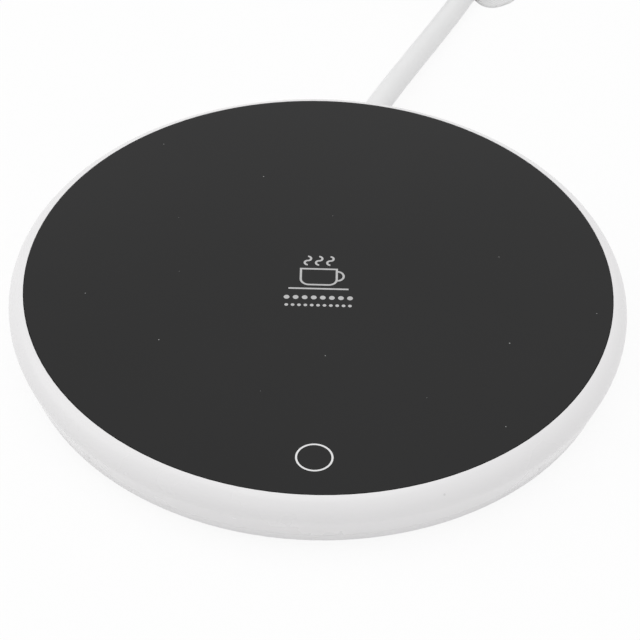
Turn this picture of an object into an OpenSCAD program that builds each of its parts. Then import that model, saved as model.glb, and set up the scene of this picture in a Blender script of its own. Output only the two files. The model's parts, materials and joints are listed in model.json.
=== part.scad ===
// Electric mug warmer: a low round hot plate with a flush glass top and a cord.
// Millimetres. The origin is at the middle of the case, on the table. +Z is up.
// The touch ring is at the front (-Y) and the cord leaves at the back.

/* [Case] */
// Radius of the case at its widest line
case_r = 60; // [56:0.5:70]
// How far the bottom edge of the case stands inside its widest line
wall_lean = 2.4; // [1.6:0.1:4]
// Height of the glass top above the table
top_h = 12.4; // [12:0.1:16]
// Height of the widest line above the table
widest_h = 8.75; // [8.3:0.05:9.3]
// Radius of the rounded shoulder
shoulder_r = 3.7; // [3.3:0.1:3.9]
// Wall thickness of the upper case
wall_t = 1.8; // [1.2:0.1:2.4]
// Height of the line where the upper case meets the base
split_h = 3.4; // [3:0.1:4]
// Thickness of the ledge that carries the glass
ledge_t = 1.2; // [0.8:0.1:1.6]
// Width of the ledge under the edge of the glass
ledge_w = 4.5; // [3:0.1:6]

/* [Base] */
// Thickness of the floor of the base
floor_t = 1.6; // [1.4:0.1:1.8]
// Height of the lip that locates the base in the upper case
lip_h = 1.8; // [1:0.1:2.5]
// Thickness of that lip
lip_t = 1.4; // [1:0.1:1.8]
// Number of case screws and feet
screw_count = 4; // [3:1:4]
// Distance from the bottom edge of the case to the middle of a case screw
screw_inset = 6.1; // [5.8:0.1:6.6]

/* [Feet] */
// Radius of a rubber foot
foot_r = 5; // [4:0.1:5.5]
// How far the feet hold the base off the table
foot_lift = 1; // [0.8:0.1:2]
// Depth of the recess that a foot is glued into
foot_recess = 0.6; // [0.4:0.1:0.8]

/* [Glass] */
// Width of the white rim round the glass
rim_w = 3.1; // [2.8:0.1:6]
// Thickness of the glass plate
glass_t = 3; // [2.6:0.1:3.2]
// Thickness of the adhesive under the edge of the glass
bond_t = 0.2; // [0.1:0.05:0.4]
// Gap between the glass and the case
glass_gap = 0.15; // [0.05:0.05:0.2]

/* [Print on the glass] */
// Depth of the printed ceramic ink
ink_t = 0.1; // [0.05:0.01:0.2]
// Distance from the edge of the glass to the middle of the touch ring
touch_inset = 9; // [8.6:0.1:10]
// Radius of the touch ring, at the middle of its line
touch_r = 3.26; // [2.5:0.01:4]
// Line width of the touch ring
touch_line = 0.36; // [0.2:0.01:0.5]
// Line width of the mug sign
sign_line = 0.42; // [0.3:0.01:0.5]

/* [Heater] */
// Distance from the edge of the glass to the edge of the aluminium heat plate
heat_inset = 19; // [18:0.5:23]
// Thickness of the aluminium heat plate
heat_t = 1.2; // [0.8:0.1:1.4]
// Thickness of the soft pad between the heat plate and the glass
pad_t = 0.4; // [0.3:0.1:0.5]
// Thickness of the heating film
film_t = 0.2; // [0.1:0.05:0.3]
// Thickness of the heater track on the film
track_t = 0.1; // [0.05:0.01:0.15]
// Line width of the heater track
track_w = 2; // [1:0.1:2.6]
// Distance from one loop of the heater track to the next
track_pitch = 4; // [3.6:0.1:5]
// Thickness of the steel shield under the insulation
shield_t = 0.6; // [0.4:0.1:0.8]
// Share of the height inside the case that lies below the shield
shield_share = 0.294; // [0.27:0.002:0.33]
// Distance from the edge of the heat plate to the shield screws
shield_screw_inset = 8; // [7:0.5:10]

/* [Control board] */
// Width of the crescent board
board_w = 11.4; // [11:0.1:12]
// Gap between the crescent board and the lip of the base
board_edge_gap = 2.6; // [2:0.1:3]
// Half of the angle that the board covers
board_half_a = 38; // [36:0.5:38.5]
// Thickness of the board
board_t = 1.2; // [0.8:0.1:1.6]
// Height of the board above the floor of the base
board_gap = 1.2; // [1:0.1:1.6]

/* [Cord] */
// Diameter of the cord
cord_d = 5; // [4.4:0.1:5.2]
// Direction in which the cord leaves the case, from +X
exit_a = 80; // [80:1:80]
// Gap between the cord and the floor of the base where it leaves the case
exit_gap = 0.1; // [0.1:0.02:0.2]
// Outer radius of the coil, to the middle of the cord
coil_r = 37.5; // [36:0.1:39]
// Distance from one turn of the coil to the next
coil_pitch = 5.45; // [5.42:0.01:5.6]
// Number of turns in the coil
coil_turns = 6.4; // [6.3:0.05:6.5]
// Thickness of the strap that ties the coil
tie_t = 0.6; // [0.4:0.1:1]
// Width of that strap
tie_w = 10; // [8:0.5:12]

/* [Plug] */
// Width of the plug body
plug_w = 35.3; // [34:0.1:37]
// Thickness of the plug body
plug_t = 13.7; // [13:0.1:15]
// Length of the thick part of the plug body
plug_l = 22; // [20:0.5:26]
// Length of the ribbed sleeve behind the plug
plug_sleeve_l = 14; // [12:0.5:18]
// Distance between the two pins
pin_pitch = 18.6; // [18:0.1:19.2]
// Radius of a pin
pin_r = 2; // [1.9:0.05:2.4]
// Length of a pin
pin_l = 19; // [18:0.5:20]

/* [Hidden] */

$fn = 96;
cord_r = cord_d / 2;
fit = 0.05;          // running gap round a screw shank, a wire end or a pin
loose = 0.15;        // gap between moulded parts that slip together
eps = 0.01;          // overshoot of a cut

// Radii, from the rim inwards
case_foot_r = case_r - wall_lean;
glass_r = case_r - rim_w;
touch_at = glass_r - touch_inset;
heat_r = glass_r - heat_inset;
shield_screw_r = heat_r - shield_screw_inset;

// Heights, from the table up
base_h = foot_lift;
floor_h = base_h + floor_t;
seat_h = top_h - glass_t - bond_t;
glass_h = top_h - glass_t;
ledge_h = seat_h - ledge_t;
pad_h = glass_h - pad_t;
plate_h = pad_h - heat_t;
track_h = plate_h - track_t;
film_h = track_h - film_t;
shield_gap = shield_share * (glass_h - floor_h);
shield_h = floor_h + shield_gap;
insulation_h = shield_h + shield_t;
board_h = floor_h + board_gap;
board_top = board_h + board_t;
board_room = glass_h - board_top;
heater_room = film_h - insulation_h;
exit_h = floor_h + cord_r + exit_gap;

// The case wall leans in from the shoulder to the foot, and touches the shoulder
shoulder_x = case_r - shoulder_r;
lean_dx = case_foot_r - shoulder_x;
lean_dz = base_h - widest_h;
lean_len = sqrt(lean_dx * lean_dx + lean_dz * lean_dz);
lean_a = atan2(-lean_dz, -lean_dx) - asin(shoulder_r / lean_len);
touch_pt = [
    shoulder_x + shoulder_r * cos(lean_a - 90),
    widest_h + shoulder_r * sin(lean_a - 90)
];
function wall_r(h) = case_foot_r + (h - base_h) / tan(lean_a);

lip_r = wall_r(split_h) - wall_t - loose;
board_out_r = lip_r - lip_t - board_edge_gap;
board_in_r = board_out_r - board_w;
screw_circle_r = case_foot_r - screw_inset;
seam_t = 0.12;       // depth of the fine line where base and upper case meet
edge_cut = 0.25;     // bevel at the bottom edge of the base

// Case screws
screw_shank_r = 1.15;
screw_head_r = 2.3;
screw_head_t = 1.35;
screw_hole_t = 1.5;  // plastic left between a screw head and the top of its pad
boss_r = 2.8;
foot_pad_r = foot_r - 0.8;
foot_top = base_h + foot_recess;
head_top = foot_top + loose + screw_head_t;
boss_h = head_top + screw_hole_t;
screw_bite = seat_h - boss_h - 1;    // how far a screw goes into its boss
screw_start_a = 45;

// Small screws for the shield, the clamp and the board
small_r = 0.8;
small_head_r = 1.6;
small_head_t = 1;
small_post_r = 2;
shield_post_r = 2.6;
shield_screw_a = [90, 210, 330];

// Channel for wires in the insulation, towards the board
channel_a = -104;
channel_w = 9.4;
channel_start = 3;
fuse_at = heat_r - 18;
fuse_size = [6.5, 5, heater_room - 0.3];
fuse_y = -1.6;
bead_r = 0.65;
bead_l = 3.5;
bead_y = 2.7;
sensor_wire_r = 0.32;
heater_wire_r = 0.6;
supply_wire_r = 0.8;
shield_r = heat_r - 0.5;

// Places on the board, as [angle, radius]
screw_at_r = board_out_r - 1.8;
terminal_at_r = board_out_r - 6.9;
screw_off_a = board_half_a - 2.5;
board_screw_at = [
    [-90 - screw_off_a, screw_at_r],
    [-97.5, board_in_r + 3],
    [-90 + screw_off_a, screw_at_r]
];
heater_terminal_at = [-121.5, terminal_at_r];
sensor_terminal_at = [-113, terminal_at_r + 1];
controller_at = [-105, terminal_at_r + 2];
resistors_at = [-98.4, terminal_at_r + 3.5];
touch_chip_at = [-82.3, terminal_at_r - 0.1];
electrolytic_at = [-77, terminal_at_r + 2.2];
film_capacitor_at = [-71.8, terminal_at_r + 1.2];
triac_at = [-65.3, terminal_at_r + 1];
mains_terminal_at = [-56.5, terminal_at_r];
terminal_size = [7, 6, board_room - 0.4];
sensor_terminal_size = [5, 4, board_room - 1];
resistor_size = [1.6, 3.2, 0.6];
resistor_pitch = 2;
guide_r = 4.1;
guide_wall = 0.9;
led_size = [1.2, 0.8, 0.8];
spring_r = 2.1;
spring_wire_r = 0.25;
spring_turns = 4.5;

// Cord clamp across the cord, just inside the case
clamp_l = 4;
clamp_w = 16;
clamp_post_y = 5.7;
clamp_ear_h = 5;
clamp_ear_t = 1.3;
clamp_top_h = exit_h + cord_r + 0.65 * (glass_h - exit_h - cord_r);
clamp_hump_w = 7.4;
neck_r = cord_r + 0.465 * (seat_h - exit_h - cord_r);
neck_l = 5.1;        // length of the neck inside the wall
stub_l = 6.2;        // length of the cord inside the neck
flange_size = [1.4, 11, cord_d];
flange_out_r = wall_r(exit_h) - wall_t;
relief_in_r = flange_out_r - neck_l;
tail_start = relief_in_r - stub_l;
clamp_at = tail_start + stub_l / 2;

// The cord's free route: out of the case, down to the table and straight away
cord_sides = 8;
function on_exit(r, h = exit_h) = [r * cos(exit_a), r * sin(exit_a), h];
route = [
    [11.4, 64, 5.15],
    [13.5, 69.4, 4.8],
    [15.8, 74.9, 4.4],
    [18.3, 80.7, 3.9],
    [20.8, 86.5, 3.4],
    [23.4, 92.4, 2.95],
    [26, 98.2, 2.65],
    [28.6, 103.8, 2.5],
    [31.5, 109.8, 2.85],
    [34.4, 115.8, 3.18],
    [36.8, 120.8, 3.15],
    [39.2, 125.8, 3.12]
];
relief_ends_at = 2;  // the point of the route where the strain relief ends
relief_radii = [for (extra = [0.5, 0.1, 0.04, 0.02]) cord_r + extra];
relief_sides = 16;

// The coil lies past the end of the free route and winds to the left
coil_x = 12.3;
coil_y = 156.3;
coil_start_a = -25.8;
coil_steps = 24;     // rings in one turn
coil_sides = 6;
coil_low_h = tie_t + cord_r;
layer_rise = coil_pitch;
layer_change = 0.5;  // turns in which the cord climbs to the second layer
lead_l = cord_d;     // straight end of the coil
tail_l = 27;         // from the coil to the plug
plug_h = plug_t / 2;

function coil_radius(u) = coil_r - coil_pitch * min(u, coil_turns - u);
function coil_climb(u) =
    min(1, max(0, (u - coil_turns / 2) / layer_change + 0.5));
function coil_point(u) =
    let (a = coil_start_a + 360 * u)
    [
        coil_x + coil_radius(u) * cos(a),
        coil_y + coil_radius(u) * sin(a),
        coil_low_h + layer_rise * coil_climb(u)
    ];
function level(v) = [v[0], v[1], 0] / norm([v[0], v[1]]);
coil_in_dir = level(coil_point(0.002) - coil_point(0));
coil_out_dir = level(coil_point(coil_turns) - coil_point(coil_turns - 0.002));
coil_end = coil_point(coil_turns);
coil_count = round(coil_turns * coil_steps);
function ease(s) = s * s * (3 - 2 * s);
function tail_point(s) =
    let (f = min(1, s / (tail_l - lead_l)))
    [
        coil_end[0] + coil_out_dir[0] * s,
        coil_end[1] + coil_out_dir[1] * s,
        coil_end[2] + (plug_h - coil_end[2]) * ease(f)
    ];
coil_path = [for (i = [0:coil_count]) coil_point(i * coil_turns / coil_count)];
cord_path = concat(
    [on_exit(case_r + 1)],
    route,
    [coil_path[0] - 2 * lead_l * coil_in_dir, coil_path[0] - lead_l * coil_in_dir],
    coil_path,
    [for (s = [5.5:5.5:tail_l - lead_l]) tail_point(s)],
    [tail_point(tail_l), tail_point(tail_l + lead_l)]
);
relief_tip = relief_ends_at + 1;
coil_first = len(route) + 2;
cord_last = len(cord_path) - 2;
plug_at = cord_path[cord_last];
plug_a = atan2(coil_out_dir[1], coil_out_dir[0]);

// Least gap between one turn of the coil and another
near_turn = round(0.6 * coil_steps);
coil_gap = min([
    for (i = [0:coil_count])
        for (j = [i + near_turn:1:coil_count])
            norm(coil_path[i] - coil_path[j])
]) - cord_d;
echo(coil_gap = coil_gap);

// Strap round the coil. It hugs the turns that it crosses, wider at the upper layer,
// and its end lies under the cord.
tie_a = -56.2;
tie_clear = 0.3;
tie_u = (tie_a - coil_start_a) / 360;
tie_turns = [for (u = [tie_u + 1:1:coil_turns]) u];
tie_inner_edge = min([for (u = tie_turns) coil_radius(u)]) - cord_r - tie_clear;
tie_in_r = sqrt(tie_inner_edge * tie_inner_edge - tie_w * tie_w / 4);
tie_low_r = max([for (u = tie_turns) if (u < coil_turns / 2) coil_radius(u)]) + cord_r + tie_clear;
tie_high_r = max([for (u = tie_turns) if (u > coil_turns / 2) coil_radius(u)]) + cord_r + tie_clear;
tie_top_h = coil_low_h + layer_rise + cord_r + tie_clear;
tie_step_h = [coil_low_h + cord_r, coil_low_h + layer_rise - 0.5 * cord_r];
tie_end_r = 53.3;
tie_corner_r = 3.7;

// A tube swept along points lo to hi of a path, with a radius for each point
function heading(p, i) =
    let (v = p[min(i + 1, len(p) - 1)] - p[max(i - 1, 0)])
    v / norm(v);
function ring(p, i, r, n) =
    let (
        t = heading(p, i),
        side = level(cross(t, [0, 0, 1])),
        up = cross(side, t)
    )
    [for (k = [0:n - 1]) p[i] + r * (cos(360 * k / n) * side + sin(360 * k / n) * up)];
module tube(p, radii, n, lo, hi) {
    m = hi - lo;
    rings = [for (i = [lo:hi]) each ring(p, i, is_list(radii) ? radii[i - lo] : radii, n)];
    start_cap = [for (k = [1:n - 2]) [0, k + 1, k]];
    end_cap = [for (k = [1:n - 2]) [m * n, m * n + k, m * n + k + 1]];
    sides = [
        for (i = [0:m - 1])
            for (k = [0:n - 1])
                let (a = i * n + k, b = i * n + (k + 1) % n)
                each [[a, b, b + n], [a, b + n, a + n]]
    ];
    polyhedron(rings, concat(start_cap, end_cap, sides));
}
module wire(p, r, n = 6) {
    tube(p, r, n, 0, len(p) - 1);
}
function polar(a, r, h) = [r * cos(a), r * sin(a), h];

module at_polar(a, r, h = 0) {
    rotate([0, 0, a])
        translate([r, 0, h])
            children();
}
// Puts a child's +Y outwards at a place on the board
module on_board(place, h = board_top) {
    rotate([0, 0, place[0]])
        translate([place[1], 0, h])
            rotate([0, 0, -90])
                children();
}
module block(size) {
    translate([-size[0] / 2, -size[1] / 2, 0])
        cube(size);
}
module washer(out_r, in_r, h) {
    difference() {
        cylinder(r = out_r, h = h);
        translate([0, 0, -1])
            cylinder(r = in_r, h = h + 2);
    }
}
module along_x(r, l) {
    rotate([0, 90, 0])
        cylinder(r = r, h = l);
}
module screw(shank_r, head_r, head_t, length) {
    cross_w = head_r * 0.32;
    cross_l = head_r * 1.1;
    difference() {
        union() {
            cylinder(r = head_r, h = head_t);
            translate([0, 0, head_t - eps])
                cylinder(r = shank_r, h = length + eps);
        }
        for (a = [0, 90])
            rotate([0, 0, a])
                translate([-cross_l / 2, -cross_w / 2, -eps])
                    cube([cross_l, cross_w, head_t * 0.55]);
    }
}
module each_case_screw() {
    for (i = [0:screw_count - 1])
        at_polar(screw_start_a + 360 * i / screw_count, screw_circle_r)
            children();
}
module each_shield_screw() {
    for (a = shield_screw_a)
        at_polar(a, shield_screw_r)
            children();
}
module each_board_screw() {
    for (place = board_screw_at)
        at_polar(place[0], place[1])
            children();
}
module each_clamp_screw() {
    rotate([0, 0, exit_a])
        for (s = [-1, 1])
            translate([clamp_at, s * clamp_post_y, 0])
                children();
}
module cord_axis(r, h = exit_h) {
    rotate([0, 0, exit_a])
        translate([r, 0, h])
            children();
}

// Section of the solid case, leaning wall and round shoulder
module case_section() {
    intersection() {
        union() {
            translate([shoulder_x, widest_h])
                circle(r = shoulder_r);
            polygon([
                [0, base_h],
                [case_foot_r, base_h],
                touch_pt,
                [shoulder_x, widest_h + shoulder_r],
                [0, widest_h + shoulder_r]
            ]);
        }
        translate([0, base_h])
            square([case_r + 1, top_h - base_h]);
    }
}
module case_solid() {
    rotate_extrude()
        case_section();
}

module upper_case() {
    inner_low_r = wall_r(split_h) - wall_t;
    inner_top_r = wall_r(ledge_h) - wall_t;
    pocket_h = max(ledge_h + eps, exit_h + flange_size[2] / 2 + loose);
    color("whitesmoke")
    difference() {
        union() {
            difference() {
                case_solid();
                translate([0, 0, -1])
                    cylinder(r = case_r + 5, h = split_h + 1);
                rotate_extrude()
                    polygon([
                        [0, split_h - 1],
                        [inner_low_r, split_h - 1],
                        [inner_low_r, split_h],
                        [inner_top_r, ledge_h],
                        [0, ledge_h]
                    ]);
                cylinder(r = glass_r - ledge_w, h = top_h + 1);
                translate([0, 0, seat_h])
                    cylinder(r = glass_r + glass_gap, h = top_h);
            }
            each_case_screw() {
                translate([0, 0, boss_h])
                    cylinder(r = boss_r, h = ledge_h - boss_h + ledge_t / 2);
                translate([0, -wall_t / 2, boss_h + loose])
                    cube([wall_r(ledge_h) - wall_t / 2 - screw_circle_r, wall_t, ledge_h - boss_h]);
            }
        }
        each_case_screw()
            translate([0, 0, boss_h - 1])
                cylinder(r = screw_shank_r + fit, h = screw_bite + 1.3);
        // slot for the neck of the strain relief
        cord_axis(relief_in_r - 1)
            along_x(neck_r + fit, case_r);
        cord_axis(relief_in_r - 1, 0)
            translate([0, -neck_r - fit, 0])
                cube([case_r, 2 * (neck_r + fit), exit_h]);
        // pocket for its inner flange
        cord_axis(flange_out_r - flange_size[0] - loose, 0)
            translate([0, -flange_size[1] / 2 - loose, 0])
                cube([flange_size[0] + loose, flange_size[1] + 2 * loose, pocket_h]);
    }
}

// A post that grows out of the floor of the base
module post(r, top) {
    low = base_h + floor_t / 2;
    translate([0, 0, low])
        cylinder(r = r, h = top - low);
}
module base_cover() {
    color("gainsboro")
    difference() {
        union() {
            rotate_extrude()
                polygon([
                    [0, base_h],
                    [case_foot_r - edge_cut, base_h],
                    [wall_r(base_h + edge_cut), base_h + edge_cut],
                    [wall_r(split_h - seam_t), split_h - seam_t],
                    [wall_r(split_h) - seam_t, split_h],
                    [lip_r, split_h],
                    [lip_r, floor_h + lip_h],
                    [lip_r - lip_t, floor_h + lip_h],
                    [lip_r - lip_t, floor_h],
                    [0, floor_h]
                ]);
            each_case_screw()
                post(foot_pad_r, boss_h);
            each_shield_screw()
                post(shield_post_r, shield_h);
            each_board_screw()
                post(small_post_r, board_h);
            each_clamp_screw()
                post(small_post_r, clamp_ear_h);
        }
        each_case_screw() {
            cylinder(r = foot_r + loose, h = foot_top);
            cylinder(r = screw_head_r + loose, h = head_top);
            cylinder(r = screw_shank_r + loose, h = boss_h + 1);
        }
        each_shield_screw()
            translate([0, 0, floor_h])
                cylinder(r = small_r + fit, h = shield_gap + 1);
        each_board_screw()
            translate([0, 0, floor_h - 0.6])
                cylinder(r = small_r + fit, h = board_gap + 1.6);
        each_clamp_screw()
            translate([0, 0, floor_h])
                cylinder(r = small_r + fit, h = clamp_ear_h);
        cord_axis(relief_in_r)
            along_x(neck_r + fit, case_r);
        // the lip stops at each side of the inner flange
        cord_axis(relief_in_r, floor_h)
            translate([0, -flange_size[1] / 2 - loose, 0])
                cube([flange_out_r - relief_in_r + fit, flange_size[1] + 2 * loose, exit_h]);
    }
}

module glass_plate() {
    color("#3a3a3c")
    difference() {
        translate([0, 0, glass_h])
            cylinder(r = glass_r, h = glass_t);
        touch_ring_ink(1);
        mug_sign_ink(1);
        dot_rows_ink(1);
    }
}

// Each print fills a shallow pocket of the glass, so that the top stays flat.
// The pockets are cut with the same shapes, a little taller.
module ink(over) {
    translate([0, 0, top_h - ink_t])
        linear_extrude(height = ink_t + over)
            children();
}
module arc_line(r, w, from_a, to_a) {
    intersection() {
        difference() {
            circle(r = r + w / 2);
            circle(r = r - w / 2);
        }
        polygon([
            [0, 0],
            for (a = [from_a:(to_a - from_a) / 4:to_a + eps]) 3 * r * [cos(a), sin(a)]
        ]);
    }
}
module bar(w, h) {
    translate([-w / 2, -h / 2])
        square([w, h]);
}
module touch_ring_ink(over = 0) {
    ink(over)
        translate([0, -touch_at])
            difference() {
                circle(r = touch_r + touch_line / 2);
                circle(r = touch_r - touch_line / 2);
            }
}
mug_w = 7.4;         // width of the drawn mug
mug_low = -1.6;      // bottom of the drawn mug, from the middle of the glass
mug_high = 3;        // its rim
mug_corner = 1.6;    // radius of its lower corners
handle_r = 1.35;
steam_r = 0.62;      // radius of one bend of the drawn steam
steam_pitch = 2.2;
steam_low = 4.2;
saucer_w = 11.6;
saucer_at = -2.75;
module mug_sign_ink(over = 0) {
    half = (mug_w - sign_line) / 2;
    ink(over) {
        translate([0, mug_high])
            bar(mug_w, sign_line);
        translate([0, mug_low])
            bar(mug_w - 2 * mug_corner, sign_line);
        for (s = [-1, 1])
            translate([s * half, (mug_high + mug_low + mug_corner) / 2])
                bar(sign_line, mug_high - mug_low - mug_corner);
        translate([half - mug_corner, mug_low + mug_corner])
            arc_line(mug_corner, sign_line, -90, 0);
        translate([mug_corner - half, mug_low + mug_corner])
            arc_line(mug_corner, sign_line, 180, 270);
        translate([half, (mug_low + mug_high) / 2 + 0.3])
            arc_line(handle_r, sign_line, -90, 90);
        for (s = [-1, 0, 1])
            translate([s * steam_pitch, steam_low]) {
                translate([0, steam_r])
                    arc_line(steam_r, sign_line, 90, 270);
                translate([0, 3 * steam_r])
                    arc_line(steam_r, sign_line, -90, 90);
            }
        translate([0, saucer_at])
            bar(saucer_w, sign_line);
    }
}
// Two rows of plain dots below the sign, as [height, count, dot radius]
dot_rows = [[-5.3, 8, 0.55], [-7.5, 11, 0.36]];
dot_row_w = 12.2;
module dot_rows_ink(over = 0) {
    ink(over)
        for (row = dot_rows)
            for (i = [0:row[1] - 1])
                translate([dot_row_w * (i / (row[1] - 1) - 0.5), row[0]])
                    circle(r = row[2]);
}
module touch_ring_print() {
    color("whitesmoke")
        touch_ring_ink();
}
module mug_sign_print() {
    color("silver")
        mug_sign_ink();
}
module dot_rows_print() {
    color("silver")
        dot_rows_ink();
}

module glass_bond() {
    color("dimgray")
    translate([0, 0, seat_h])
        washer(glass_r - 0.4, glass_r - ledge_w + 0.6, bond_t);
}
module thermal_pad() {
    color("lightblue")
    translate([0, 0, pad_h])
        cylinder(r = heat_r - 1, h = pad_t);
}
module heat_plate() {
    color("silver")
    translate([0, 0, plate_h])
        cylinder(r = heat_r, h = heat_t);
}

// The heater track: open loops, joined end to end into one line
track_first = 8;
track_last = heat_r - 4;
track_loops = floor((track_last - track_first) / track_pitch);
module track_loop(r) {
    gap_a = asin(track_w * 1.4 / r);
    rotate([0, 0, channel_a])
        linear_extrude(height = track_t)
            difference() {
                circle(r = r + track_w / 2);
                circle(r = r - track_w / 2);
                polygon([
                    [0, 0],
                    [2 * r, -2 * r * tan(gap_a)],
                    [2 * r, 2 * r * tan(gap_a)]
                ]);
            }
}
module heater_track() {
    color("peru")
    translate([0, 0, track_h])
    difference() {
        union() {
            for (i = [0:track_loops])
                track_loop(track_first + i * track_pitch);
            for (i = [0:track_loops - 1])
                rotate([0, 0, channel_a])
                    translate([
                        track_first + i * track_pitch,
                        (i % 2 == 0 ? 1 : -1) * track_w * 1.9 - track_w / 2,
                        0
                    ])
                        cube([track_pitch, track_w, track_t]);
        }
        each_shield_screw()
            translate([0, 0, -1])
                cylinder(r = small_head_r + loose, h = 3);
    }
}
module heating_film() {
    color("goldenrod")
    difference() {
        translate([0, 0, film_h])
            cylinder(r = heat_r - 1, h = film_t);
        each_shield_screw()
            translate([0, 0, film_h - 1])
                cylinder(r = small_head_r + loose, h = 3);
    }
}
module insulation_pad() {
    color("linen")
    difference() {
        translate([0, 0, insulation_h])
            cylinder(r = shield_r, h = film_h - insulation_h);
        rotate([0, 0, channel_a])
            translate([-channel_start, -channel_w / 2, insulation_h - 1])
                cube([heat_r + channel_start, channel_w, film_h]);
        each_shield_screw()
            translate([0, 0, insulation_h - 1])
                cylinder(r = small_head_r + loose, h = film_h);
    }
}
module heat_shield() {
    color("lightgray")
    difference() {
        translate([0, 0, shield_h])
            cylinder(r = shield_r, h = shield_t);
        each_shield_screw()
            translate([0, 0, shield_h - 1])
                cylinder(r = small_r + loose, h = shield_t + 2);
    }
}
module screw_from_above(h, length) {
    translate([0, 0, h + small_head_t])
        rotate([180, 0, 0])
            screw(small_r, small_head_r, small_head_t, length);
}
module shield_screws() {
    color("gray")
    each_shield_screw()
        screw_from_above(insulation_h, shield_t + shield_gap - 0.2);
}
module thermistor() {
    color("black")
    rotate([0, 0, channel_a])
        translate([0, bead_y, film_h - bead_r - fit])
            union() {
                along_x(bead_r, bead_l);
                sphere(r = bead_r);
            }
}
module thermal_fuse() {
    fuse_low = film_h - fuse_size[2] - fit;
    lead_r = 0.35;
    color("ivory")
    rotate([0, 0, channel_a])
        translate([fuse_at, fuse_y, fuse_low]) {
            translate([-fuse_size[0] / 2, -fuse_size[1] / 2, 0])
                cube(fuse_size);
            translate([fuse_size[0] / 2 - eps, 0, fuse_size[2] / 2])
                along_x(lead_r, 3);
            translate([-fuse_size[0] / 2 - 3, 0, fuse_size[2] / 2])
                along_x(lead_r, 3 + eps);
        }
}

module control_board() {
    color("darkgreen")
    difference() {
        rotate([0, 0, -90 - board_half_a])
            rotate_extrude(angle = 2 * board_half_a)
                translate([board_in_r, board_h])
                    square([board_out_r - board_in_r, board_t]);
        each_board_screw()
            translate([0, 0, board_h - 1])
                cylinder(r = small_r + loose, h = board_t + 2);
    }
}
module board_screws() {
    color("gray")
    each_board_screw()
        screw_from_above(board_top, board_t + board_gap + 0.3);
}
module touch_spring() {
    steps = 12;
    rise = glass_h - board_top - 2 * spring_wire_r - 0.2;
    count = round(spring_turns * steps);
    path = [
        for (i = [0:count])
            let (a = 360 * i / steps)
            [
                spring_r * cos(a),
                spring_r * sin(a) - touch_at,
                board_top + spring_wire_r + 0.1 + rise * i / count
            ]
    ];
    color("gold")
        wire(path, spring_wire_r);
}
module light_guide() {
    color("white", 0.7)
    difference() {
        translate([0, -touch_at, board_top])
            washer(guide_r, guide_r - guide_wall, glass_h - board_top - 0.1);
        for (s = [-1, 1])
            translate([s * (guide_r - guide_wall / 2), -touch_at, board_top - 1])
                block([2, led_size[1] + 0.6, led_size[2] + 1.1]);
    }
}
module status_leds() {
    color("lightyellow")
    for (s = [-1, 1])
        translate([s * (guide_r - guide_wall / 2), -touch_at, board_top])
            block(led_size);
}
// A chip with rows of leads on its two long sides
module chip(size, leads, lead_pitch) {
    block(size);
    for (s = [-1, 1])
        for (i = [0:leads - 1])
            translate([s * (size[0] / 2 + 0.4), (i - (leads - 1) / 2) * lead_pitch, 0])
                block([0.9, 0.4, size[2] / 2]);
}
module touch_chip() {
    color("black")
    on_board(touch_chip_at)
        chip([2.4, 4, 1.4], 4, 1);
}
module controller_chip() {
    color("black")
    on_board(controller_at)
        chip([3.6, 6, 1.5], 5, 1.2);
}
module board_resistors() {
    color("black")
    on_board(resistors_at)
        for (s = [-0.5, 0.5])
            translate([s * resistor_pitch, 0, 0])
                block(resistor_size);
}
module film_capacitor() {
    color("gold")
    on_board(film_capacitor_at)
        block([3.6, 9, board_room - 0.6]);
}
module electrolytic_capacitor() {
    color("dimgray")
    on_board(electrolytic_at) {
        block([4.3, 4.3, 0.5]);
        translate([0, 0, 0.5 - eps])
            cylinder(r = 2, h = board_room - 1.1);
    }
}
module heater_triac() {
    color("black")
    on_board(triac_at) {
        block([5.6, 6, board_room / 2]);
        translate([0, 3.6, 0])
            block([4.6, 1.4, 0.5]);
        for (s = [-1, 1])
            translate([s * 1.9, -3.5, 0])
                block([0.8, 1.4, 0.6]);
    }
}
// A screwless terminal with two wire mouths
module terminal(size) {
    difference() {
        block(size);
        for (s = [-1, 1])
            translate([s * size[0] / 4, -size[1] / 2 - 1, size[2] / 2])
                rotate([-90, 0, 0])
                    cylinder(r = supply_wire_r + 0.15, h = 3);
    }
}
module mains_terminal() {
    color("seagreen")
    on_board(mains_terminal_at)
        terminal(terminal_size);
}
module heater_terminal() {
    color("seagreen")
    on_board(heater_terminal_at)
        terminal(terminal_size);
}
module sensor_terminal() {
    color("ivory")
    on_board(sensor_terminal_at)
        terminal(sensor_terminal_size);
}

module case_screws() {
    color("gray")
    each_case_screw()
        translate([0, 0, head_top - screw_head_t])
            screw(screw_shank_r, screw_head_r, screw_head_t, screw_hole_t + screw_bite);
}
module rubber_feet() {
    color("#4a4a4c")
    each_case_screw()
        union() {
            cylinder(r = foot_r - 0.4, h = 0.4);
            translate([0, 0, 0.4])
                cylinder(r = foot_r, h = foot_top - 0.4);
        }
}

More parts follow.
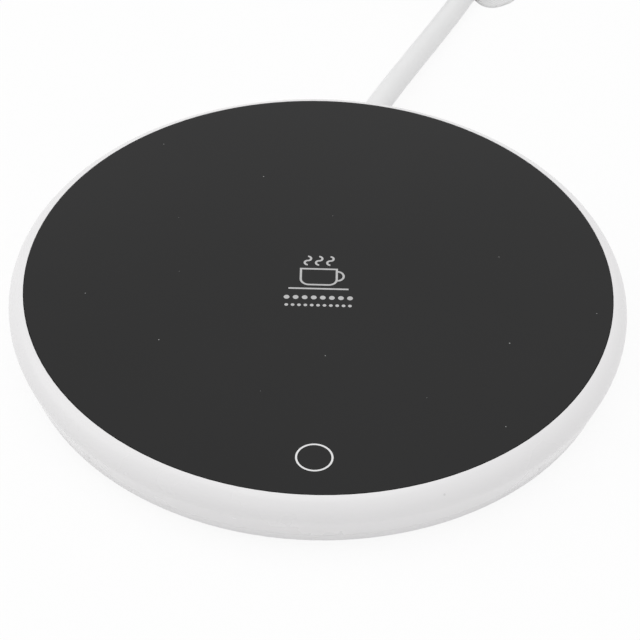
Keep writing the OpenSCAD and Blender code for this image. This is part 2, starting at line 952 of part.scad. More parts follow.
module strain_relief() {
    flange_r = flange_out_r - flange_size[0];
    flange_h = exit_h - flange_size[2] / 2;
    shoulder = case_r + 0.1;
    color("whitesmoke")
    union() {
        cord_axis(relief_in_r)
            along_x(neck_r, shoulder + 0.2 - relief_in_r);
        cord_axis(flange_r, flange_h)
            translate([0, -flange_size[1] / 2, 0])
                cube(flange_size);
        cord_axis(shoulder)
            along_x(neck_r + 0.7, 1.5);
        tube(cord_path, relief_radii, relief_sides, 0, relief_tip);
    }
}
module cord_tail() {
    color("whitesmoke")
    cord_axis(tail_start)
        along_x(cord_r, relief_in_r - tail_start);
}
module cord_clamp() {
    color("gray")
    difference() {
        cord_axis(clamp_at, 0) {
            translate([0, 0, clamp_ear_h])
                block([clamp_l, clamp_w, clamp_ear_t]);
            translate([0, 0, clamp_ear_h])
                block([clamp_l, clamp_hump_w, clamp_top_h - clamp_ear_h]);
        }
        cord_axis(clamp_at - clamp_l)
            along_x(cord_r + fit, 2 * clamp_l);
        each_clamp_screw()
            translate([0, 0, clamp_ear_h - 1])
                cylinder(r = small_r + loose, h = clamp_ear_t + 2);
    }
}
module clamp_screws() {
    color("silver")
    each_clamp_screw()
        screw_from_above(clamp_ear_h + clamp_ear_t, clamp_ear_t + 2);
}

// Mains wires: out of the cord's end, round the heater and up to the terminal
wire_low_h = floor_h + supply_wire_r;
mains_mouth_h = board_top + terminal_size[2] / 2;
function supply_path(side, r) =
    let (
        mouth_a = mains_terminal_at[0] + side * 2.2,
        mouth_r = mains_terminal_at[1] - terminal_size[1] / 2,
        aside = side * 1.2 * [sin(exit_a), -cos(exit_a), 0]
    )
    concat(
        [
            on_exit(tail_start - 0.1) + aside,
            on_exit(tail_start - 1.2) + aside,
            polar(exit_a - 4, r + 0.6, exit_h - 0.6)
        ],
        [
            for (a = [exit_a - 10:-9:mouth_a + 6])
                polar(a, r, wire_low_h)
        ],
        [
            polar(mouth_a + 5.5, r, wire_low_h),
            polar(mouth_a + 2.2, mouth_r - 2.6, board_top + 0.6),
            polar(mouth_a, mouth_r - 1.6, mains_mouth_h),
            polar(mouth_a, mouth_r + 1.5, mains_mouth_h)
        ]
    );
module live_wire() {
    color("saddlebrown")
        wire(supply_path(1, heat_r + 4.4), supply_wire_r);
}
module neutral_wire() {
    color("royalblue")
        wire(supply_path(-1, heat_r + 1.6), supply_wire_r);
}
function in_channel(x, y, h) =
    [
        x * cos(channel_a) - y * sin(channel_a),
        x * sin(channel_a) + y * cos(channel_a),
        h
    ];
module heater_wires() {
    wire_h = film_h - 0.457 * heater_room;
    mouth_r = heater_terminal_at[1] - terminal_size[1] / 2;
    mouth_h = board_top + terminal_size[2] / 2;
    outer_a = heater_terminal_at[0] - 2.2;
    inner_a = heater_terminal_at[0] + 2.2;
    function run(x, y, start_h, r, mouth_a) = [
        in_channel(x, y, start_h),
        in_channel(x + 1.5, y, start_h),
        in_channel(shield_r - 1.5, y, wire_h),
        in_channel(r - 0.3, y - 1.2, wire_h),
        polar(channel_a - 9, r, wire_h),
        polar(mouth_a + 3, r, wire_h + 0.2),
        polar(mouth_a, mouth_r - 1.6, mouth_h),
        polar(mouth_a, mouth_r + 1.5, mouth_h)
    ];
    color("white") {
        wire(run(fuse_at + fuse_size[0] / 2 + 3.2, fuse_y, wire_h, heat_r + 0.7, outer_a), heater_wire_r);
        wire(run(29, 1.2, film_h - heater_wire_r - fit, heat_r + 2.2, inner_a), heater_wire_r);
    }
}
module thermistor_wires() {
    bead_h = film_h - bead_r - fit;
    mouth_r = sensor_terminal_at[1] - sensor_terminal_size[1] / 2;
    mouth_h = board_top + sensor_terminal_size[2] / 2;
    function run(s, r) = [
        in_channel(bead_l + 0.1, bead_y + s * 0.42, bead_h),
        in_channel(bead_l + 2, bead_y + s * 0.42, bead_h),
        in_channel(shield_r - 2, bead_y + 0.6 + s * 0.42, bead_h - 0.15),
        in_channel(shield_r + 1.5, bead_y + 0.6 + s * 0.42, bead_h - 0.15),
        polar(channel_a + 1.6, r, bead_h - 0.15),
        polar(channel_a - 4.5, r, bead_h - 0.15),
        polar(sensor_terminal_at[0] + s * 1.5 + 1.4, r + 0.6, bead_h - 0.1),
        polar(sensor_terminal_at[0] + s * 1.5, mouth_r - 1, mouth_h),
        polar(sensor_terminal_at[0] + s * 1.5, mouth_r + 1.5, mouth_h)
    ];
    color("khaki") {
        wire(run(-1, heat_r + 3.5), sensor_wire_r);
        wire(run(1, heat_r + 4.3), sensor_wire_r);
    }
}

module power_cord() {
    color("whitesmoke")
        tube(cord_path, cord_r, cord_sides, relief_tip, coil_first);
}
module cord_coil() {
    color("whitesmoke")
        tube(cord_path, cord_r, coil_sides, coil_first, cord_last);
}
module tie_outline(t) {
    polygon([
        [tie_in_r - t, tie_t - t],
        [tie_low_r + t, tie_t - t],
        [tie_low_r + t, tie_step_h[0] - t / 2],
        [tie_high_r + t, tie_step_h[1] - t / 2],
        [tie_high_r + t, tie_top_h + t],
        [tie_in_r - t, tie_top_h + t]
    ]);
}
module cord_tie() {
    color("white")
    translate([coil_x, coil_y, 0])
        rotate([0, 0, tie_a]) {
            rotate([90, 0, 0])
                translate([0, 0, -tie_w / 2])
                    linear_extrude(height = tie_w)
                        difference() {
                            tie_outline(tie_t);
                            tie_outline(0);
                        }
            translate([tie_low_r, -tie_w / 2, 0])
                cube([tie_end_r - tie_corner_r - tie_low_r, tie_w, tie_t]);
            translate([tie_low_r, tie_corner_r - tie_w / 2, 0])
                cube([tie_end_r - tie_low_r, tie_w - 2 * tie_corner_r, tie_t]);
            for (s = [-1, 1])
                translate([tie_end_r - tie_corner_r, s * (tie_w / 2 - tie_corner_r), 0])
                    cylinder(r = tie_corner_r, h = tie_t);
        }
}

module at_plug() {
    translate([plug_at[0], plug_at[1], plug_h])
        rotate([0, 0, plug_a])
            children();
}
module each_pin() {
    for (s = [-1, 1])
        translate([plug_sleeve_l + plug_l, s * pin_pitch / 2, 0])
            children();
}
plug_neck_r = 4.6;
pin_core_r = 1.4;
pin_deep = 8;
pin_bare_l = 9;
rib_count = 4;
module plug_body() {
    y = plug_w / 2 - plug_t / 2;
    rib_pitch = plug_sleeve_l / (rib_count + 0.5);
    color("whitesmoke")
    at_plug() {
        difference() {
            hull() {
                for (s = [-1, 1])
                    translate([plug_sleeve_l + plug_l - 9, s * y, 0])
                        along_x(plug_t / 2, 9, $fn = 32);
                translate([plug_sleeve_l - 1, 0, 0])
                    along_x(plug_neck_r, 2, $fn = 32);
            }
            each_pin()
                translate([-pin_deep, 0, 0])
                    along_x(pin_core_r + fit, pin_deep + 1);
        }
        for (i = [0:rib_count - 1])
            translate([i * rib_pitch + rib_pitch / 2, 0, 0])
                along_x(cord_r + 0.9 + 0.25 * i, rib_pitch * 0.6);
        along_x(cord_r + 0.6, plug_sleeve_l);
    }
}
module plug_sleeves() {
    color("whitesmoke")
    at_plug()
        each_pin()
            rotate([0, 90, 0])
                washer(pin_r - 0.1, pin_core_r + fit, pin_l - pin_bare_l);
}
module plug_pins() {
    color("silver")
    at_plug()
        each_pin() {
            translate([-pin_deep + 0.2, 0, 0])
                along_x(pin_core_r, pin_deep + pin_l - pin_bare_l);
            translate([pin_l - pin_bare_l, 0, 0])
                along_x(pin_r, pin_bare_l - pin_r * 0.6);
            translate([pin_l - pin_r * 0.6 - eps, 0, 0])
                rotate([0, 90, 0])
                    cylinder(r1 = pin_r, r2 = pin_r * 0.5, h = pin_r * 0.6);
        }
}

upper_case();
base_cover();
glass_plate();
touch_ring_print();
mug_sign_print();
dot_rows_print();
glass_bond();
thermal_pad();
heat_plate();
heater_track();
heating_film();
insulation_pad();
heat_shield();
shield_screws();
thermistor();
thermal_fuse();
control_board();
touch_spring();
light_guide();
status_leds();
touch_chip();
controller_chip();
board_resistors();
film_capacitor();
electrolytic_capacitor();
heater_triac();
mains_terminal();
heater_terminal();
sensor_terminal();
board_screws();
case_screws();
rubber_feet();
strain_relief();
cord_clamp();
clamp_screws();
cord_tail();
live_wire();
neutral_wire();
heater_wires();
thermistor_wires();
power_cord();
cord_coil();
cord_tie();
plug_body();
plug_sleeves();
plug_pins();
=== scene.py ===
import json
import math

import bpy
from mathutils import Matrix, Vector


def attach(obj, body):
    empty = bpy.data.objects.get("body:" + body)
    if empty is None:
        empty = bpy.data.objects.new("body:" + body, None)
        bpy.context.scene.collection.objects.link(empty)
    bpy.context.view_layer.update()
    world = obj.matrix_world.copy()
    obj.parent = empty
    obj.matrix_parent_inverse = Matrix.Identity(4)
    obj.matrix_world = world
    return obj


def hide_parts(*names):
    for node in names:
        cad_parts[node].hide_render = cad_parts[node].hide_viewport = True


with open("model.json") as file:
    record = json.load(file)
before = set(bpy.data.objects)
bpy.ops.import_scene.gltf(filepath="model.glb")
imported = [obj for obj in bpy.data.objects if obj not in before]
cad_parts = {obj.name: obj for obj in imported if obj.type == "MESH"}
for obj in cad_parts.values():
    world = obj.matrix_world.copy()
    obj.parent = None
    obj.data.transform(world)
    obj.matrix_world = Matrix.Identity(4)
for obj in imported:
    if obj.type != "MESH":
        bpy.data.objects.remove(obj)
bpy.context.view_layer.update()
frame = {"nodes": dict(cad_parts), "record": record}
nodes = frame["nodes"]
print("frame loaded, CAD nodes:", len(nodes))

# camera

camera = {
    "place": (-0.0001763, -0.3319427, 0.3071216),
    "right": (0.999679, 0.016103, 0.019572),
    "up": (-0.025306, 0.676944, 0.735599),
    "forward": (0.001404, 0.735858, -0.677134),
    "lens": 128.771,
    "sensor": 36,
}


def addCamera():
    data = bpy.data.cameras.new("camera")
    data.lens = camera["lens"]
    data.sensor_width = camera["sensor"]
    data.sensor_fit = "HORIZONTAL"
    data.clip_start = 0.01
    obj = bpy.data.objects.new("camera", data)
    bpy.context.collection.objects.link(obj)
    right, up = Vector(camera["right"]), Vector(camera["up"])
    back = -Vector(camera["forward"])
    turn = Matrix((right, up, back)).transposed()
    obj.matrix_world = Matrix.Translation(camera["place"]) @ turn.to_4x4()
    bpy.context.scene.camera = obj


addCamera()

# finishes


def newGroup(name, inputs, outputs):
    group = bpy.data.node_groups.new(name, "ShaderNodeTree")
    for label, kind, value in inputs:
        socket = group.interface.new_socket(name=label, in_out="INPUT", socket_type="NodeSocket" + kind)
        if kind == "Float":
            socket.default_value = value
    for label, kind in outputs:
        group.interface.new_socket(name=label, in_out="OUTPUT", socket_type="NodeSocket" + kind)
    return group, group.nodes.new("NodeGroupInput"), group.nodes.new("NodeGroupOutput")


def addMath(tree, kind, first, second=None, clamp=False):
    node = tree.nodes.new("ShaderNodeMath")
    node.operation = kind
    node.use_clamp = clamp
    for i, value in enumerate((first, second)):
        if value is None:
            continue
        if isinstance(value, (int, float)):
            node.inputs[i].default_value = value
        else:
            tree.links.new(value, node.inputs[i])
    return node.outputs[0]


def addNoise(tree, vector, scale, detail=2.0, roughness=0.5):
    node = tree.nodes.new("ShaderNodeTexNoise")
    tree.links.new(vector, node.inputs["Vector"])
    if isinstance(scale, (int, float)):
        node.inputs["Scale"].default_value = scale
    else:
        tree.links.new(scale, node.inputs["Scale"])
    node.inputs["Detail"].default_value = detail
    node.inputs["Roughness"].default_value = roughness
    return node.outputs["Fac"]


def addRange(tree, value, lowIn, highIn, lowOut, highOut):
    node = tree.nodes.new("ShaderNodeMapRange")
    node.interpolation_type = "SMOOTHSTEP"
    tree.links.new(value, node.inputs["Value"])
    for label, number in (
            ("From Min", lowIn), ("From Max", highIn), ("To Min", lowOut), ("To Max", highOut)):
        node.inputs[label].default_value = number
    return node.outputs["Result"]


def buildMouldGrain():
    # fine grain of a moulded or rolled surface, and the slow unevenness of its colour
    group, inside, outside = newGroup(
        "mouldGrain", [("Vector", "Vector", 0), ("Scale", "Float", 2500), ("Patch", "Float", 60)],
        [("Height", "Float"), ("Mottle", "Float")])
    grain = addNoise(group, inside.outputs["Vector"], inside.outputs["Scale"], 3, 0.6)
    mottle = addNoise(group, inside.outputs["Vector"], inside.outputs["Patch"], 4, 0.55)
    group.links.new(grain, outside.inputs["Height"])
    group.links.new(addRange(group, mottle, 0.3, 0.7, 0, 1), outside.inputs["Mottle"])
    return group


def buildDust(name, dimensions, small, spread):
    # scattered specks of dust, most cells empty; small and spread are their sizes in cells
    group, inside, outside = newGroup(
        name, [("Vector", "Vector", 0), ("Scale", "Float", 90), ("Share", "Float", 0.2)],
        [("Mask", "Float")])
    cells = group.nodes.new("ShaderNodeTexVoronoi")
    cells.voronoi_dimensions = dimensions
    group.links.new(inside.outputs["Vector"], cells.inputs["Vector"])
    group.links.new(inside.outputs["Scale"], cells.inputs["Scale"])
    apart = group.nodes.new("ShaderNodeSeparateColor")
    group.links.new(cells.outputs["Color"], apart.inputs[0])
    present = addMath(group, "LESS_THAN", apart.outputs[0], inside.outputs["Share"])
    reach = addMath(group, "ADD", addMath(group, "MULTIPLY", apart.outputs[1], spread), small)
    near = addMath(group, "SUBTRACT", reach, cells.outputs["Distance"])
    near = addMath(group, "MULTIPLY", near, 2 / small, clamp=True)
    group.links.new(addMath(group, "MULTIPLY", near, present), outside.inputs["Mask"])
    return group


hairs = {
    "ways": ((0.4, (1, 26, 1)), (1.9, (22, 1, 1))),  # turn and stretch of each set
    "start": 0.70,
    "full": 0.76,
}


def buildHairScratches():
    # short thin scratches in two directions
    group, inside, outside = newGroup(
        "hairScratches", [("Vector", "Vector", 0), ("Scale", "Float", 40)], [("Mask", "Float")])
    total = None
    for turn, stretch in hairs["ways"]:
        mapping = group.nodes.new("ShaderNodeMapping")
        mapping.inputs["Rotation"].default_value = (0, 0, turn)
        mapping.inputs["Scale"].default_value = stretch
        group.links.new(inside.outputs["Vector"], mapping.inputs["Vector"])
        lines = addNoise(group, mapping.outputs[0], inside.outputs["Scale"], 2, 0.4)
        mask = addRange(group, lines, hairs["start"], hairs["full"], 0, 1)
        total = mask if total is None else addMath(group, "MAXIMUM", total, mask)
    group.links.new(total, outside.inputs["Mask"])
    return group


def buildBrushed():
    # fine lines left by rolling or drawing, along one direction
    group, inside, outside = newGroup(
        "rolledLines", [("Vector", "Vector", 0), ("Scale", "Float", 300)], [("Lines", "Float")])
    mapping = group.nodes.new("ShaderNodeMapping")
    mapping.inputs["Scale"].default_value = (0.04, 1, 1)
    group.links.new(inside.outputs["Vector"], mapping.inputs["Vector"])
    lines = addNoise(group, mapping.outputs[0], inside.outputs["Scale"], 4, 0.7)
    group.links.new(lines, outside.inputs["Lines"])
    return group


def buildWeave():
    # over and under threads of a plain weave, on the strap's own UV map; Gap marks where the threads meet,
    # where painted shade goes
    group, inside, outside = newGroup(
        "plainWeave", [("Vector", "Vector", 0), ("Threads", "Float", 40)],
        [("Height", "Float"), ("Gap", "Float")])
    apart = group.nodes.new("ShaderNodeSeparateXYZ")
    group.links.new(inside.outputs["Vector"], apart.inputs[0])
    waves = []
    for axis in (0, 1):
        turn = addMath(group, "MULTIPLY", apart.outputs[axis], inside.outputs["Threads"])
        turn = addMath(group, "MULTIPLY", turn, math.pi)
        waves.append(addMath(group, "SINE", turn))
    product = addMath(group, "MULTIPLY", waves[0], waves[1])
    height = addMath(group, "MULTIPLY", product, 0.5)
    height = addMath(group, "ADD", height, 0.5)
    group.links.new(height, outside.inputs["Height"])
    edge = addMath(group, "ABSOLUTE", product)
    group.links.new(addRange(group, edge, 0.02, 0.3, 1, 0), outside.inputs["Gap"])
    return group


groups = {
    "grain": buildMouldGrain(),
    "dust": buildDust("dustSpecks", "3D", 0.03, 0.06),
    "tableDust": buildDust("flatDust", "2D", 0.004, 0.005),
    "scratch": buildHairScratches(),
    "brushed": buildBrushed(),
    "weave": buildWeave(),
}


def startMaterial(name):
    mat = bpy.data.materials.new(name)
    mat.use_nodes = True
    tree = mat.node_tree
    shader = tree.nodes["Principled BSDF"]
    where = tree.nodes.new("ShaderNodeTexCoord")
    return mat, tree, shader, where.outputs["Object"]


def useGroup(tree, name, vector, **values):
    node = tree.nodes.new("ShaderNodeGroup")
    node.node_tree = groups[name]
    tree.links.new(vector, node.inputs["Vector"])
    for label, value in values.items():
        node.inputs[label].default_value = value
    return node


def mixColour(tree, amount, first, second):
    node = tree.nodes.new("ShaderNodeMix")
    node.data_type = "RGBA"
    tree.links.new(amount, node.inputs["Factor"])
    for i, colour in ((6, first), (7, second)):
        if isinstance(colour, tuple):
            node.inputs[i].default_value = (*colour, 1)
        else:
            tree.links.new(colour, node.inputs[i])
    return node.outputs[2]


def addBump(tree, shader, height, strength, distance):
    bump = tree.nodes.new("ShaderNodeBump")
    bump.inputs["Strength"].default_value = strength
    bump.inputs["Distance"].default_value = distance
    tree.links.new(height, bump.inputs["Height"])
    tree.links.new(bump.outputs[0], shader.inputs["Normal"])


def scaled(colour, amount):
    return tuple(c * amount for c in colour)


mouldedPlain = {
    "rough": 0.45, "smoother": 0.03, "rougher": 0.04,
    "grain": 2500, "patch": 60, "spread": 0.02,
    "bump": 0.12, "bumpDepth": 0.00004,
    "dust": 0, "dustScale": 220, "dustShade": 0.86,
    "ior": 1.5, "soft": 0, "softDepth": 0.001,
}


def mouldedMaterial(name, own):
    # moulded plastic, rubber, resin and the like: grain, uneven colour and a little dust
    f = {**mouldedPlain, **own}
    mat, tree, shader, where = startMaterial(name)
    grain = useGroup(tree, "grain", where, Scale=f["grain"], Patch=f["patch"])
    colour, spread, rough = f["colour"], f["spread"], f["rough"]
    mottle = grain.outputs["Mottle"]
    tone = mixColour(tree, mottle, scaled(colour, 1 - spread), scaled(colour, 1 + spread / 2))
    if f["dust"]:
        dust = useGroup(tree, "dust", where, Scale=f["dustScale"], Share=f["dust"])
        dustColour = f.get("dustColour", scaled(colour, f["dustShade"]))
        tone = mixColour(tree, dust.outputs["Mask"], tone, dustColour)
    tree.links.new(tone, shader.inputs["Base Color"])
    uneven = addRange(tree, mottle, 0, 1, rough - f["smoother"], rough + f["rougher"])
    tree.links.new(uneven, shader.inputs["Roughness"])
    shader.inputs["IOR"].default_value = f["ior"]
    shader.inputs["Subsurface Weight"].default_value = f["soft"]
    shader.inputs["Subsurface Scale"].default_value = f["softDepth"]
    addBump(tree, shader, grain.outputs["Height"], f["bump"], f["bumpDepth"])
    return mat


metalPlain = {
    "rough": 0.32, "smoother": 0.06, "rougher": 0.08,
    "lines": 500, "darker": 0.86, "lighter": 1.06,
    "scratch": 60, "wear": 0.15,
    "bump": 0.15, "bumpDepth": 0.00002,
}


def metalMaterial(name, own):
    # rolled or drawn metal: fine lines and small scratches in the roughness
    f = {**metalPlain, **own}
    mat, tree, shader, where = startMaterial(name)
    lines = useGroup(tree, "brushed", where, Scale=f["lines"]).outputs["Lines"]
    scratch = useGroup(tree, "scratch", where, Scale=f["scratch"]).outputs["Mask"]
    tone = mixColour(tree, lines, scaled(f["colour"], f["darker"]), scaled(f["colour"], f["lighter"]))
    tree.links.new(tone, shader.inputs["Base Color"])
    base = addRange(tree, lines, 0.3, 0.7, f["rough"] - f["smoother"], f["rough"] + f["rougher"])
    worn = addMath(tree, "MULTIPLY", scratch, f["wear"])
    tree.links.new(addMath(tree, "ADD", base, worn), shader.inputs["Roughness"])
    shader.inputs["Metallic"].default_value = 1
    addBump(tree, shader, lines, f["bump"], f["bumpDepth"])
    return mat


def glassMaterial(name, f):
    # dark glass: nearly black below, a clean gloss above, a little dust
    mat, tree, shader, where = startMaterial(name)
    dust = useGroup(tree, "tableDust", where, Scale=f["dustScale"], Share=f["dust"]).outputs["Mask"]
    scratch = useGroup(tree, "scratch", where, Scale=f["scratch"]).outputs["Mask"]
    mottle = useGroup(tree, "grain", where, Scale=f["grain"], Patch=f["patch"]).outputs["Mottle"]
    tone = mixColour(tree, mottle, scaled(f["colour"], f["darker"]), scaled(f["colour"], f["lighter"]))
    tone = mixColour(tree, dust, tone, f["dustColour"])
    tree.links.new(tone, shader.inputs["Base Color"])
    smear = addRange(tree, mottle, 0, 1, f["rough"], f["rough"] + f["smear"])
    worn = addMath(tree, "MULTIPLY", scratch, f["scratchRough"])
    speck = addMath(tree, "MULTIPLY", dust, f["dustRough"])
    total = addMath(tree, "ADD", addMath(tree, "ADD", smear, worn), speck)
    tree.links.new(total, shader.inputs["Roughness"])
    shader.inputs["IOR"].default_value = f["ior"]
    shader.inputs["Specular IOR Level"].default_value = f["gloss"]
    return mat


def wovenMaterial(name, f):
    # plain weave on the piece's own UV map, set so that the piece's edges fall on the crown of a thread
    mat, tree, shader, where = startMaterial(name)
    uv = tree.nodes.new("ShaderNodeUVMap")
    mapping = tree.nodes.new("ShaderNodeMapping")
    mapping.inputs["Scale"].default_value = f["stretch"]
    mapping.inputs["Location"].default_value = (0.5 / f["threads"], 0.5 / f["threads"], 0)
    tree.links.new(uv.outputs[0], mapping.inputs["Vector"])
    weave = useGroup(tree, "weave", mapping.outputs[0], Threads=f["threads"])
    mottle = useGroup(tree, "grain", where, Scale=f["grain"], Patch=f["patch"]).outputs["Mottle"]
    # the colour is darkened in the gaps between threads: painted shade of the recesses, not a colour the
    # thread has
    tone = mixColour(tree, weave.outputs["Gap"], f["colour"], scaled(f["colour"], f["gapPaintedShade"]))
    fuzz = addMath(tree, "MULTIPLY", mottle, f["fuzz"])
    tone = mixColour(tree, fuzz, tone, scaled(f["colour"], f["fuzzShade"]))
    tree.links.new(tone, shader.inputs["Base Color"])
    shader.inputs["Roughness"].default_value = f["rough"]
    shader.inputs["Sheen Weight"].default_value = f["sheen"]
    addBump(tree, shader, weave.outputs["Height"], f["bump"], f["bumpDepth"])
    return mat


# one row for each finish: the maker of the material and what it is given
finishes = {
    "case_white": (mouldedMaterial, {
        "colour": (0.806, 0.798, 0.804), "rough": 0.28, "grain": 3200, "patch": 45, "spread": 0.012,
        "bump": 0.015, "dust": 0.05, "dustScale": 260}),
    "base_white": (mouldedMaterial, {
        "colour": (0.821, 0.813, 0.819), "rough": 0.46, "grain": 2600, "patch": 45, "spread": 0.015,
        "bump": 0.02, "dust": 0.08, "dustScale": 240}),
    "dark_glass": (glassMaterial, {
        "colour": (0.009, 0.009, 0.0092), "rough": 0.035, "smear": 0.02, "ior": 1.45, "gloss": 0.267,
        "grain": 900, "patch": 9, "darker": 0.9, "lighter": 1.15,
        "dust": 0.4, "dustScale": 60, "dustColour": (0.3, 0.3, 0.3), "dustRough": 0.4,
        "scratch": 26, "scratchRough": 0.02}),
    "print_white": (mouldedMaterial, {
        "colour": (0.78, 0.78, 0.782), "rough": 0.3, "grain": 5000, "patch": 700, "spread": 0.04}),
    "print_grey": (mouldedMaterial, {
        "colour": (0.50, 0.50, 0.50), "rough": 0.3, "grain": 5000, "patch": 900, "spread": 0.08}),
    "adhesive": (mouldedMaterial, {"colour": (0.02, 0.02, 0.02), "rough": 0.6, "patch": 200}),
    "thermal_pad": (mouldedMaterial, {
        "colour": (0.30, 0.34, 0.40), "rough": 0.8, "grain": 1500, "bump": 0.3, "spread": 0.06}),
    "heat_plate": (metalMaterial, {"colour": (0.78, 0.78, 0.79), "rough": 0.35}),
    "foil_track": (metalMaterial, {"colour": (0.52, 0.36, 0.26), "rough": 0.35}),
    "film": (mouldedMaterial, {"colour": (0.50, 0.24, 0.05), "rough": 0.22, "patch": 120, "spread": 0.1}),
    "insulation": (mouldedMaterial, {
        "colour": (0.78, 0.74, 0.66), "rough": 0.95, "grain": 1100, "bump": 0.6, "bumpDepth": 0.0002,
        "spread": 0.12, "patch": 260}),
    "sheet_steel": (metalMaterial, {"colour": (0.55, 0.56, 0.57), "rough": 0.4}),
    "screw_steel": (metalMaterial, {"colour": (0.50, 0.50, 0.50), "rough": 0.35, "lines": 900}),
    "black_resin": (mouldedMaterial, {
        "colour": (0.02, 0.02, 0.021), "rough": 0.55, "grain": 4500, "spread": 0.2}),
    "ceramic": (mouldedMaterial, {
        "colour": (0.74, 0.68, 0.55), "rough": 0.5, "spread": 0.05, "patch": 150}),
    "board_green": (mouldedMaterial, {
        "colour": (0.012, 0.10, 0.035), "rough": 0.3, "grain": 1700, "spread": 0.12, "patch": 320}),
    "spring_metal": (metalMaterial, {"colour": (0.72, 0.66, 0.50), "rough": 0.28, "lines": 1500}),
    "milky_plastic": (mouldedMaterial, {"colour": (0.74, 0.74, 0.72), "rough": 0.35, "soft": 0.1}),
    "led": (mouldedMaterial, {"colour": (0.80, 0.76, 0.40), "rough": 0.25, "spread": 0.08, "patch": 600}),
    "capacitor": (mouldedMaterial, {"colour": (0.58, 0.36, 0.03), "rough": 0.3, "spread": 0.05}),
    "can_aluminium": (metalMaterial, {"colour": (0.66, 0.66, 0.68), "rough": 0.25, "lines": 1200}),
    "terminal_green": (mouldedMaterial, {"colour": (0.04, 0.24, 0.10), "rough": 0.5, "spread": 0.05}),
    "terminal_white": (mouldedMaterial, {"colour": (0.74, 0.71, 0.62), "rough": 0.5, "spread": 0.05}),
    "foot_rubber": (mouldedMaterial, {
        "colour": (0.045, 0.045, 0.047), "rough": 0.85, "grain": 1800, "bump": 0.35, "bumpDepth": 0.0001,
        "spread": 0.15, "dust": 0.2, "dustScale": 300, "dustColour": (0.12, 0.12, 0.12)}),
    "cord_pvc": (mouldedMaterial, {
        "colour": (0.80, 0.80, 0.802), "rough": 0.36, "grain": 2200, "patch": 110, "spread": 0.015,
        "bump": 0.08, "dust": 0.06, "dustScale": 300}),
    "plug_pvc": (mouldedMaterial, {
        "colour": (0.79, 0.79, 0.792), "rough": 0.38, "grain": 2400, "patch": 90, "spread": 0.015,
        "bump": 0.1, "dust": 0.08, "dustScale": 260}),
    "tie_strap": (wovenMaterial, {
        "colour": (0.78, 0.78, 0.78), "stretch": (9, 1, 1), "threads": 14, "gapPaintedShade": 0.8,
        "grain": 4000, "patch": 300, "fuzz": 0.12, "fuzzShade": 0.85,
        "rough": 0.85, "sheen": 0.2, "bump": 0.5, "bumpDepth": 0.0001}),
    "pin_metal": (metalMaterial, {"colour": (0.78, 0.76, 0.72), "rough": 0.16, "lines": 700}),
    "wire_brown": (mouldedMaterial, {
        "colour": (0.12, 0.045, 0.015), "rough": 0.4, "patch": 400, "spread": 0.06}),
    "wire_blue": (mouldedMaterial, {
        "colour": (0.015, 0.06, 0.40), "rough": 0.4, "patch": 400, "spread": 0.06}),
    "wire_white": (mouldedMaterial, {
        "colour": (0.76, 0.76, 0.76), "rough": 0.5, "patch": 400, "spread": 0.04}),
    "wire_yellow": (mouldedMaterial, {
        "colour": (0.70, 0.56, 0.24), "rough": 0.45, "patch": 400, "spread": 0.05}),
}
finish = {slotName: maker(slotName, values) for slotName, (maker, values) in finishes.items()}

for row in frame["record"]["subparts"]:
    mesh = nodes[row["node"]].data
    mesh.materials.clear()
    mesh.materials.append(finish[row["material_slot"]])
print("finishes done:", len(finish))

# small helpers for modelling


def deselectAll():
    if bpy.context.object and bpy.context.object.mode != "OBJECT":
        bpy.ops.object.mode_set(mode="OBJECT")
    bpy.ops.object.select_all(action="DESELECT")


def makeActive(obj):
    deselectAll()
    obj.select_set(True)
    bpy.context.view_layer.objects.active = obj


def finishPiece(obj, name, slotName, smoothAngle):
    obj.name = name
    obj.data.name = name
    makeActive(obj)
    bpy.ops.object.transform_apply(location=True, rotation=True, scale=True)
    bpy.ops.object.shade_smooth_by_angle(angle=math.radians(smoothAngle))
    deselectAll()
    obj.data.materials.clear()
    obj.data.materials.append(finish[slotName])
    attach(obj, "root")
    return obj


def recalcOutside(obj):
    makeActive(obj)
    bpy.ops.object.mode_set(mode="EDIT")
    bpy.ops.mesh.select_all(action="SELECT")
    bpy.ops.mesh.remove_doubles(threshold=1e-6)
    bpy.ops.mesh.normals_make_consistent(inside=False)
    bpy.ops.object.mode_set(mode="OBJECT")


def applyModifiers(obj):
    makeActive(obj)
    for name in [m.name for m in obj.modifiers]:
        bpy.ops.object.modifier_apply(modifier=name)


# the cord's way, as in the CAD model: places and radii in millimetres, the diameter in metres

cordWay = {
    "diameter": 0.005,
    "fromCase": [
        (11.4, 64, 5.15), (13.5, 69.4, 4.8), (15.8, 74.9, 4.4),
    ],
    "route": [
        (18.3, 80.7, 3.9), (20.8, 86.5, 3.4), (23.4, 92.4, 2.95), (26, 98.2, 2.65),
        (28.6, 103.8, 2.5), (31.5, 109.8, 2.85), (34.4, 115.8, 3.18), (36.8, 120.8, 3.15),
        (39.2, 125.8, 3.12),
    ],
    "exitAngle": 80,
    "exitHeight": 5.2,
    "exitRadius": 61,
    "coilMiddle": (12.3, 156.3),
    "coilRadius": 37.5,
    "coilPitch": 5.45,
    "coilTurns": 6.4,
    "coilStart": -25.8,
    "coilLow": 3.1,
    "climbTurns": 0.5,  # how much of a turn the cord takes to rise to the upper layer
    "pointsPerTurn": 44,
    "leadIn": (10, 5),  # how far before the coil the cord already runs its way
    "pointsPerSpan": 4,
    "tail": 27,
    "tailPoints": 12,
    "plugHeight": 6.85,
    "bevelRings": 4,
}


def eased(t):
    # from 0 to 1 with a soft start and end
    t = min(1, max(0, t))
    return t * t * (3 - 2 * t)


def coilPoint(u):
    c = cordWay
    angle = math.radians(c["coilStart"] + 360 * u)
    radius = c["coilRadius"] - c["coilPitch"] * min(u, c["coilTurns"] - u)
    climb = eased((u - c["coilTurns"] / 2) / c["climbTurns"] + 0.5)
    return Vector((
        c["coilMiddle"][0] + radius * math.cos(angle),
        c["coilMiddle"][1] + radius * math.sin(angle),
        c["coilLow"] + c["coilPitch"] * climb,
    ))


